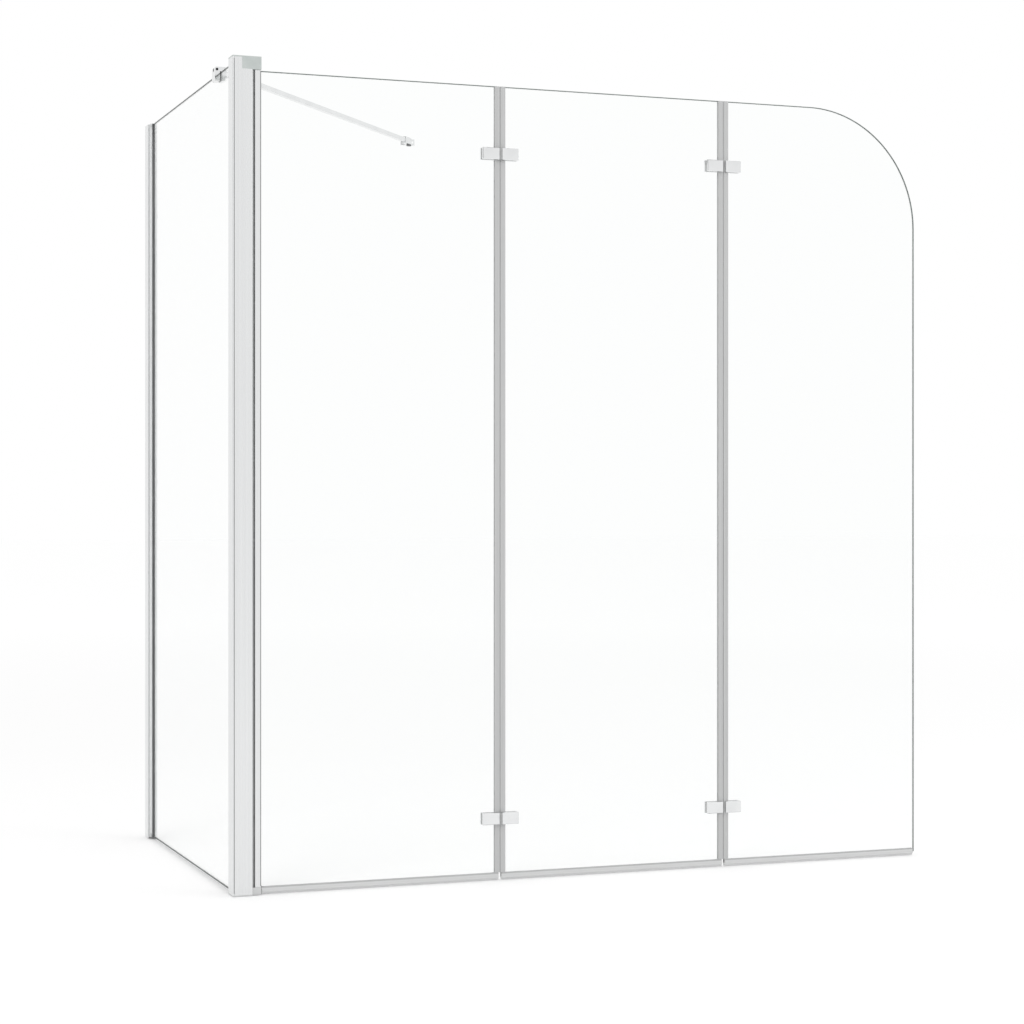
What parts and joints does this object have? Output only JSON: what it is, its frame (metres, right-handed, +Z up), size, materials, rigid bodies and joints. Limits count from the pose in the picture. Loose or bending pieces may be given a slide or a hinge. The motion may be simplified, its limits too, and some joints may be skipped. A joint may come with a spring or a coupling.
{
  "type": "shower screen",
  "caption": "Corner bath screen of clear glass: a fixed side panel with a wall channel and stabiliser bar, and a hinged front that folds in panels, the last with a round top corner.",
  "frame": {"origin": "on the wall, at the lower end of the wall channel's back face, in the side glass's middle plane and level with the bath's rim", "axes": "+X along the front panels away from the corner post, +Y into the wall, +Z up"},
  "size_m": [1.204, 0.6833, 1.3],
  "materials": {
    "clear_glass": "clear tempered, polished edges",
    "bright_aluminium": "bright anodised",
    "chrome": "polished chrome plate",
    "steel": "stainless",
    "black_steel": "blackened",
    "grey_plastic": "moulded, fine satin",
    "seal_vinyl": "translucent soft vinyl",
    "dark_rubber": "matt",
    "pad_rubber": "matt"
  },
  "bodies": {
    "wall_fittings": {"wall_channel": "bright_aluminium", "locking_screws": "steel", "stabiliser_bar": "chrome", "bar_clamp_end": "chrome", "bar_wall_end": "chrome", "bar_wall_bracket": "chrome", "bar_wall_pin": "steel", "clamp_outer_jaw": "chrome", "clamp_inner_jaw": "chrome", "clamp_pads": "pad_rubber", "clamp_bolt": "black_steel", "clamp_swivel_pin": "steel"},
    "side_panel": {"adjusting_profile": "bright_aluminium", "adjusting_gasket": "dark_rubber", "side_glass": "clear_glass", "post_gasket": "dark_rubber", "corner_post": "bright_aluminium", "post_top_cap": "grey_plastic", "post_foot_cap": "grey_plastic", "top_pivot_bracket": "grey_plastic", "bottom_pivot_bracket": "grey_plastic", "top_pivot_pin": "steel", "bottom_pivot_pin": "steel", "post_edge_seal": "pad_rubber", "bracket_screws": "steel"},
    "front_panel_1": {"pivot_profile": "bright_aluminium", "pivot_gasket": "dark_rubber", "top_bush": "grey_plastic", "bottom_bush": "grey_plastic", "front_glass_1": "clear_glass", "bottom_seal_1": "seal_vinyl", "edge_seal_1_right": "seal_vinyl", "first_hinge_upper_left_leaf": "chrome", "first_hinge_lower_left_leaf": "chrome", "first_hinge_left_plates": "chrome", "first_hinge_pins": "steel", "panel_1_hinge_pads": "pad_rubber", "panel_1_hinge_screws": "steel"},
    "front_panel_2": {"front_glass_2": "clear_glass", "bottom_seal_2": "seal_vinyl", "edge_seal_2_left": "seal_vinyl", "edge_seal_2_right": "seal_vinyl", "first_hinge_upper_right_leaf": "chrome", "first_hinge_lower_right_leaf": "chrome", "first_hinge_right_plates": "chrome", "second_hinge_upper_left_leaf": "chrome", "second_hinge_lower_left_leaf": "chrome", "second_hinge_left_plates": "chrome", "second_hinge_pins": "steel", "panel_2_hinge_pads": "pad_rubber", "panel_2_hinge_screws": "steel"},
    "front_panel_3": {"front_glass_3": "clear_glass", "bottom_seal_3": "seal_vinyl", "edge_seal_3_left": "seal_vinyl", "second_hinge_upper_right_leaf": "chrome", "second_hinge_lower_right_leaf": "chrome", "second_hinge_right_plates": "chrome", "panel_3_hinge_pads": "pad_rubber", "panel_3_hinge_screws": "steel"}
  },
  "joints": [
    {"name": "side_adjust", "type": "slide", "parent": "wall_fittings", "child": "side_panel", "axis": [0, -1, 0], "range_m": [-0.01, 0.01]},
    {"name": "panel_1_pivot", "type": "hinge", "parent": "side_panel", "child": "front_panel_1", "pos_m": [0.0325, -0.66, 0.64], "axis": [0, 0, 1], "range_deg": [0, 90]},
    {"name": "first_fold", "type": "hinge", "parent": "front_panel_1", "child": "front_panel_2", "pos_m": [0.433, -0.681, 0.64], "axis": [0, 0, 1], "range_deg": [-180, 0]},
    {"name": "second_fold", "type": "hinge", "parent": "front_panel_2", "child": "front_panel_3", "pos_m": [0.8295, -0.663, 0.64], "axis": [0, 0, 1], "range_deg": [0, 180]}
  ]
}
